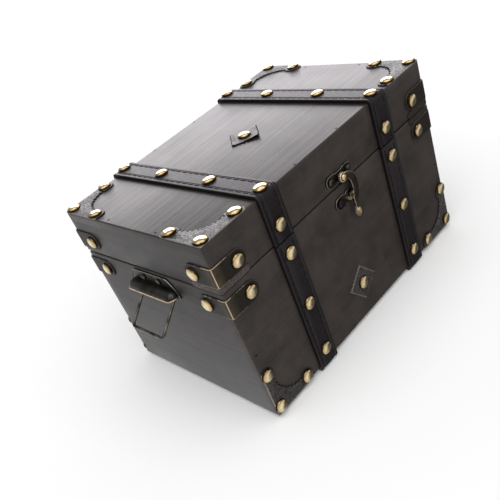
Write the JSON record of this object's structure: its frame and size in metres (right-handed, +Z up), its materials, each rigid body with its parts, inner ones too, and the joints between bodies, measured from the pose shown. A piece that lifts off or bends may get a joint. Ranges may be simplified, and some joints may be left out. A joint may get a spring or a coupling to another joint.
{
  "type": "storage box",
  "caption": "Hinged wooden keepsake chest with leather straps, leather corners, domed nails, a swing-hook latch and drop bail handles.",
  "frame": {"origin": "centre of the chest's closed bounding box on the surface that it stands on, which the undersides of the two body straps touch", "axes": "+X along the front to the right, the latch's face looks to -Y, the hinges are at +Y, +Z up"},
  "size_m": [0.2678, 0.155, 0.1433],
  "materials": {
    "stained_wood": "dark charcoal-brown stain with a satin lacquer, fine grain along the length",
    "strap_leather": "dark plum-black smooth strap leather, stitched along both edges",
    "corner_leather": "dark brown pebbled leather with pinked edges",
    "corner_tab_leather": "dark brown coated leather with edges worn to old gold",
    "antique_bronze": "antiqued dark bronze, rubbed bright on the high edges"
  },
  "bodies": {
    "body": {"base_board": "stained_wood", "body_front_panel": "stained_wood", "body_back_panel": "stained_wood", "body_left_panel": "stained_wood", "body_right_panel": "stained_wood", "body_strap_left": "strap_leather", "body_strap_right": "strap_leather", "body_tab_front_left": "corner_tab_leather", "body_tab_front_right": "corner_tab_leather", "body_tab_back_right": "corner_tab_leather", "body_tab_back_left": "corner_tab_leather", "foot_patch_front_left": "corner_leather", "foot_patch_front_right": "corner_leather", "foot_patch_back_right": "corner_leather", "foot_patch_back_left": "corner_leather", "front_diamond": "corner_leather", "latch_keeper": "antique_bronze", "latch_keeper_screw_left": "antique_bronze", "latch_keeper_screw_right": "antique_bronze", "handle_plate_left": "antique_bronze", "handle_plate_right": "antique_bronze", "handle_screw_left_a": "antique_bronze", "handle_screw_left_b": "antique_bronze", "handle_screw_right_a": "antique_bronze", "handle_screw_right_b": "antique_bronze", "hinge_body_leaf_left": "antique_bronze", "hinge_body_leaf_right": "antique_bronze", "hinge_pin_left": "antique_bronze", "hinge_pin_right": "antique_bronze"},
    "lid": {"lid_top_board": "stained_wood", "lid_front_rail": "stained_wood", "lid_back_rail": "stained_wood", "lid_left_rail": "stained_wood", "lid_right_rail": "stained_wood", "lid_strap_left": "strap_leather", "lid_strap_right": "strap_leather", "lid_patch_front_left": "corner_leather", "lid_patch_front_right": "corner_leather", "lid_patch_back_right": "corner_leather", "lid_patch_back_left": "corner_leather", "lid_tab_front_left": "corner_tab_leather", "lid_tab_front_right": "corner_tab_leather", "lid_tab_back_right": "corner_tab_leather", "lid_tab_back_left": "corner_tab_leather", "lid_diamond": "corner_leather", "latch_plate": "antique_bronze", "latch_rivet": "antique_bronze", "latch_plate_screw_left": "antique_bronze", "latch_plate_screw_right": "antique_bronze", "hinge_lid_leaf_left": "antique_bronze", "hinge_lid_leaf_right": "antique_bronze"},
    "hook": {"latch_hook": "antique_bronze"},
    "bail_left": {"bail_left": "antique_bronze"},
    "bail_right": {"bail_right": "antique_bronze"}
  },
  "joints": [
    {"name": "lid_hinge", "type": "hinge", "parent": "body", "child": "lid", "pos_m": [0, 0.0747, 0.1055], "axis": [-1, 0, 0], "range_deg": [0, 100]},
    {"name": "hook_swing", "type": "hinge", "parent": "lid", "child": "hook", "pos_m": [0.0034, -0.0732, 0.1115], "axis": [0, -1, 0], "range_deg": [-10, 100]},
    {"name": "bail_swing_left", "type": "hinge", "parent": "body", "child": "bail_left", "pos_m": [-0.11265, 0, 0.0912], "axis": [0, 1, 0], "range_deg": [-50, 15]},
    {"name": "bail_swing_right", "type": "hinge", "parent": "body", "child": "bail_right", "pos_m": [0.11265, 0, 0.0912], "axis": [0, -1, 0], "range_deg": [-50, 15]}
  ]
}
